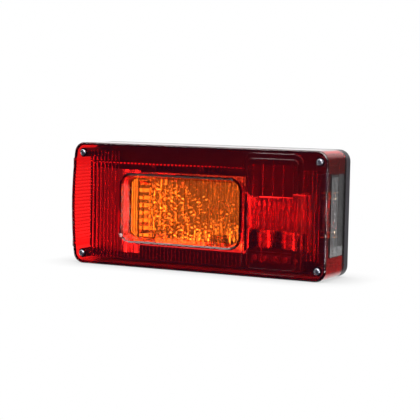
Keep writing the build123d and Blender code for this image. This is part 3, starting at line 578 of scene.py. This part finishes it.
moulded_copy("plate_bulb_clips", "plate_bulb_clips_brass", spring_brass)

# Lens seal: a flat ring of black rubber, cut to the outline of the lens.
# It is laid on the ledge of the tray and squeezed by the lens.
moulded_copy("lens_gasket", "lens_seal", rubber)

# Red lens: one moulding in transparent red acrylic, with the sunk pan and the raised window in its front.
# Its inner face has upright flutes, level ribs on the bowed end and prism blocks behind the tall window.
# Shallow flutes above and below the pan, and a row of small wedges over it, are added to the solid's form.
FLUTE_PITCH, FLUTE_DEPTH, FLUTE_STEPS = 3.7, 0.2, 8
FLUTES_LEFT, FLUTE_COUNT = -77.9, 33
UPPER_FLUTES, LOWER_FLUTES = (30.0, 48.0), (-48.0, -34.5)
WEDGES_LEFT, WEDGES_RIGHT, WEDGE_ROOT = -105.65, 45.0, 0.4
WEDGE_Z, WEDGE_HIGH, WEDGE_DEEP, WEDGE_WIDE = 37.4, 1.6, 1.2, 1.9
LENS_WALL, TALL_RISE, LENS_SHARP = 2.5, 1.4, 22


def acrylic(name, colour, density, haze=0.0):
    """Polished acrylic: coloured by what it absorbs on the way through, with a share of coloured haze."""
    finish, tree = new_finish(name)
    shader = add(tree, "ShaderNodeBsdfPrincipled", {
        "Base Color": (1.0, 1.0, 1.0, 1.0), "Roughness": 0.0, "IOR": 1.49, "Transmission Weight": 1.0,
        "Normal": grain(tree, 14.0, 0.012)})
    glow = add(tree, "ShaderNodeBsdfDiffuse", {"Color": (colour[0], colour[1] ** 2, colour[2] ** 2, 1.0)})
    skin = add(tree, "ShaderNodeMixShader", {0: haze, 1: shader.outputs["BSDF"], 2: glow.outputs["BSDF"]})
    body = add(tree, "ShaderNodeVolumeAbsorption", {"Color": colour, "Density": density})
    add(tree, "ShaderNodeOutputMaterial", {
        "Surface": skin.outputs["Shader"], "Volume": body.outputs["Volume"]})
    return finish


# Red dye takes most of the green and blue in one wall, nearly all of it in two, and hardly any red
red_acrylic = acrylic("red acrylic, polished mould", (0.987, 0.12, 0.07, 1.0), 850.0, 0.003)
lens_low = size_mm("red_lens")[0]
front_inner = lens_low[1] + TALL_RISE + LENS_WALL
lens = moulded_copy("red_lens", "red_lens_moulding", red_acrylic)


def closed_bar(rings):
    """Bar through rings of points, one after the other, each end closed to its middle."""
    rings = np.concatenate([rings, rings[:, :1]], axis=1)
    ends = [np.repeat(rings[i, :-1].mean(axis=0)[None, None], rings.shape[1], axis=1) for i in (0, -1)]
    return np.concatenate([ends[0], rings, ends[1]])


def fluted_band(low, high):
    """Bar of upright flutes between two heights: y = base + depth (1 - s^2), s from -1 to 1 over a pitch."""
    x = FLUTES_LEFT + FLUTE_PITCH * np.linspace(0, FLUTE_COUNT, FLUTE_STEPS * FLUTE_COUNT + 1)[:, None]
    s = 2 * ((x - FLUTES_LEFT) / FLUTE_PITCH % 1.0) - 1
    inside = front_inner - LENS_WALL / 2 + 0 * x
    flute = front_inner + FLUTE_DEPTH * (1 - s ** 2)
    y = np.concatenate([inside, flute, flute, inside], axis=1)
    return closed_bar(np.stack([x + 0 * y, y, 0 * y + [low, low, high, high]], axis=-1))


def wedge(x):
    """Small wedge on the inner face, its lower face slanting back and up: a four-sided ring along X."""
    low, high = WEDGE_Z - WEDGE_HIGH / 2, WEDGE_Z + WEDGE_HIGH / 2
    y = front_inner + np.array([-WEDGE_ROOT, 0.0, WEDGE_DEEP, -WEDGE_ROOT])
    z = np.array([low, low, high, high])
    ends = np.array([[x - WEDGE_WIDE / 2], [x + WEDGE_WIDE / 2]])
    return closed_bar(np.stack([ends + 0 * y, y + 0 * ends, z + 0 * ends], axis=-1))


# The bars are joined to the moulding, so that no inner walls are left where they meet
wedges = [wedge(x) for x in np.arange(WEDGES_LEFT, WEDGES_RIGHT, FLUTE_PITCH)]
bars = [bpy.data.objects.new("flutes", joined_mesh("flutes", grids))
        for grids in ([fluted_band(*UPPER_FLUTES)], [fluted_band(*LOWER_FLUTES)], wedges)]
lens.modifiers.clear()
for bar in bars:
    bpy.context.scene.collection.objects.link(bar)
    join = lens.modifiers.new("flutes", "BOOLEAN")
    join.operation = "UNION"
    join.solver = "EXACT"
    join.object = bar
bpy.context.view_layer.update()
joined = bpy.data.meshes.new_from_object(lens.evaluated_get(bpy.context.evaluated_depsgraph_get()))
lens.modifiers.clear()
lens.data = joined
joined.shade_smooth()
joined.set_sharp_from_angle(angle=np.radians(LENS_SHARP))
lens.modifiers.new("flat faces", "WEIGHTED_NORMAL").keep_sharp = True
for bar in bars:
    bpy.data.objects.remove(bar)

# Amber window: the floor of the pan, moulded in transparent amber acrylic and welded behind the red pan wall.
# Its back has shallow upright ribs with flats between them.
# Amber dye takes most of the blue and part of the green, so thick places turn from yellow to orange
amber_acrylic = acrylic("amber acrylic, polished mould", (0.991, 0.615, 0.056, 1.0), 900.0, 0.01)
moulded_copy("amber_window", "amber_window_moulding", amber_acrylic)

# Clear end window: colourless acrylic welded into the right end wall of the lens.
# Upright ribs on its inner face spread the light of the number plate bulb.
clear_acrylic = acrylic("clear acrylic, polished mould", (0.97, 0.98, 0.98, 1.0), 30.0)
moulded_copy("clear_end_window", "clear_window_moulding", clear_acrylic)

# Lens screws: four pan-headed tapping screws of zinc-plated steel with cross recesses.
# Their heads are let into the corners of the lens, and they bite into the posts of the housing.
SCREW_HEAD, SCREW_SHANK, HEAD_HEIGHT, CROSS_DEPTH, SCREW_POINT = 2.7, 1.5, 1.8, 1.5, 2.0
screw_low, screw_high = size_mm("lens_screws")
seat = screw_low[1] + HEAD_HEIGHT
screw_end = seat - screw_high[1]
head = screw_head(SCREW_HEAD, HEAD_HEIGHT, CROSS_DEPTH, 4)
shank = turned([(SCREW_HEAD, 0.0), (SCREW_SHANK, 0.0), (SCREW_SHANK, screw_end + SCREW_POINT),
                (0.0, screw_end)], sides=32)
screw_grids = []
for x in (screw_low[0] + SCREW_HEAD, screw_high[0] - SCREW_HEAD):
    for z in (screw_low[2] + SCREW_HEAD, screw_high[2] - SCREW_HEAD):
        screw_grids += [to_front(grid) + [x, seat, z] for grid in (head, shank)]
# Zinc plating gone dull in the weather: mid grey, with a faint blue cast and no clear reflections
dull_zinc = opaque("zinc-plated steel, weathered", "#7d7f86", (1.5, 0.24, 0.38), (0.5, 0.02), METAL)
piece("lens_screws_steel", screw_grids, dull_zinc, "screw_steel", "lens_screws", sharp=30)

# Floor and light: a white table top in a white studio that is dim in front of the lamp and to its right.
# The floor shows white, with the soft shadow of the lamp on it, and four softboxes light the lamp.
FLOOR_LEFT, FLOOR_RIGHT, FLOOR_FRONT, FLOOR_BACK = -0.8, 0.22, -0.085, 1.2
SHADOW_REACH, SHADOW_DARKEST = 0.035, 0.55
BEHIND, LEFTWARD, CEILING = (-0.45, 0.0), (0.3, 0.0), (0.15, 0.4)
WHITE, FRONT_VIOLET, RIGHT_GREY = (1, 1, 1, 1), (0.04, 0.03, 0.1, 1), (0.1, 0.095, 0.098, 1)
THROUGH_GREY = (0.33, 0.33, 0.33, 1)
BOUNCES = 40
floor_z = lens_low[2] * MM
pale, tree = new_finish("white table top")
lit = add(tree, "ShaderNodeBsdfDiffuse", {"Color": linear("#f4f4f4")})
rays = add(tree, "ShaderNodeLightPath").outputs
open_sky = add(tree, "ShaderNodeAmbientOcclusion", {"Distance": SHADOW_REACH}, samples=8)
shadow = add(tree, "ShaderNodeMapRange", {
    "Value": open_sky.outputs["AO"], "To Min": SHADOW_DARKEST, "To Max": 1.0})
glow = add(tree, "ShaderNodeEmission", {"Color": WHITE, "Strength": shadow.outputs[0]})
shader = add(tree, "ShaderNodeMixShader", {0: rays["Is Camera Ray"], 1: lit.outputs[0], 2: glow.outputs[0]})
add(tree, "ShaderNodeOutputMaterial", {"Surface": shader.outputs[0]})
mesh = bpy.data.meshes.new("floor")
mesh.from_pydata([(FLOOR_LEFT, FLOOR_FRONT, floor_z), (FLOOR_RIGHT, FLOOR_FRONT, floor_z),
                  (FLOOR_RIGHT, FLOOR_BACK, floor_z), (FLOOR_LEFT, FLOOR_BACK, floor_z)], [], [(0, 1, 2, 3)])
mesh.materials.append(pale)
floor = bpy.data.objects.new("floor", mesh)
bpy.context.scene.collection.objects.link(floor)
# Mirrored rays pass the floor by and see the studio, so the floor isn't reflected in the lamp
floor.visible_glossy = False

# The studio is white overhead and behind the lamp on its left, dim violet in front and dim grey at its right
# Rays that leave through a lens meet a brighter grey in the dim parts, and the camera sees white all round
world = bpy.data.worlds.new("studio")
bpy.context.scene.world = world
world.use_nodes = True
tree = world.node_tree
tree.nodes.clear()
rays = add(tree, "ShaderNodeLightPath").outputs
way = add(tree, "ShaderNodeSeparateXYZ", {0: add(tree, "ShaderNodeTexCoord").outputs["Generated"]})
behind, leftward, ceiling = [
    add(tree, "ShaderNodeMapRange", {"Value": way.outputs[axis], "From Min": start, "From Max": end},
        interpolation_type="SMOOTHSTEP").outputs[0]
    for axis, (start, end) in (("Y", BEHIND), ("X", LEFTWARD), ("Z", CEILING))]
bright = add(tree, "ShaderNodeMath", {0: behind, 1: leftward}, operation="MULTIPLY").outputs[0]
level = add(tree, "ShaderNodeMath", {0: bright, 1: ceiling}, operation="MAXIMUM").outputs[0]
level = add(tree, "ShaderNodeMath", {0: level, 1: rays["Is Camera Ray"]}, operation="MAXIMUM").outputs[0]
dim = add(tree, "ShaderNodeMix", {"Factor": behind, 6: FRONT_VIOLET, 7: RIGHT_GREY}, data_type="RGBA")
dim = add(tree, "ShaderNodeMix", {
    "Factor": rays["Is Transmission Ray"], 6: dim.outputs[2], 7: THROUGH_GREY}, data_type="RGBA")
tint = add(tree, "ShaderNodeMix", {"Factor": level, 6: dim.outputs[2], 7: WHITE}, data_type="RGBA")
sky = add(tree, "ShaderNodeBackground", {"Color": tint.outputs[2], "Strength": 1.0})
add(tree, "ShaderNodeOutputWorld", {"Surface": sky.outputs[0]})


def softbox(name, place, width, height, watts):
    """Rectangular soft light at a place in metres, facing the lamp at the origin."""
    light = bpy.data.lights.new(name, "AREA")
    light.shape = "RECTANGLE"
    light.size, light.size_y, light.energy = width, height, watts
    box = bpy.data.objects.new(name, light)
    box.location = place
    box.rotation_euler = (-Vector(place)).to_track_quat("-Z", "Y").to_euler()
    bpy.context.scene.collection.objects.link(box)


softbox("high softbox", (-0.25, -0.5, 0.95), 1.2, 0.8, 12.0)
softbox("front softbox", (0.26, -0.95, 0.5), 0.8, 0.5, 15.0)
softbox("left softbox", (-0.76, -0.5, -0.25), 0.5, 0.36, 1.3)
softbox("right softbox", (0.62, -0.5, -0.11), 0.16, 0.3, 4.2)
bpy.context.scene.cycles.max_bounces = BOUNCES
bpy.context.scene.cycles.transmission_bounces = BOUNCES

# Camera: the photograph's view, from the right and a little above, turned slightly about its own axis.
# Its focal length is given in pixels of a square picture, and its place in metres.
FOCAL_PX, FRAME_PX, SENSOR = 1349.0, 420.0, 36.0
YAW, PITCH, ROLL = np.radians([26.71, 4.59, 1.18])
CAMERA_PLACE = (0.5375, -1.0911, 0.0938)
view = np.array([-np.sin(YAW) * np.cos(PITCH), np.cos(YAW) * np.cos(PITCH), -np.sin(PITCH)])
across = np.array([np.cos(YAW), np.sin(YAW), 0.0])
upward = np.cross(across, view)
turned_across = np.cos(ROLL) * across + np.sin(ROLL) * upward
turned_upward = np.cos(ROLL) * upward - np.sin(ROLL) * across
camera_data = bpy.data.cameras.new("camera")
camera_data.sensor_width = SENSOR
camera_data.lens = SENSOR * FOCAL_PX / FRAME_PX
camera_data.clip_start = 0.05
camera = bpy.data.objects.new("camera", camera_data)
turn = Matrix((turned_across, turned_upward, -view)).transposed().to_4x4()
camera.matrix_world = Matrix.Translation(CAMERA_PLACE) @ turn
bpy.context.scene.collection.objects.link(camera)
bpy.context.scene.camera = camera
bpy.context.scene.view_settings.view_transform = "Standard"
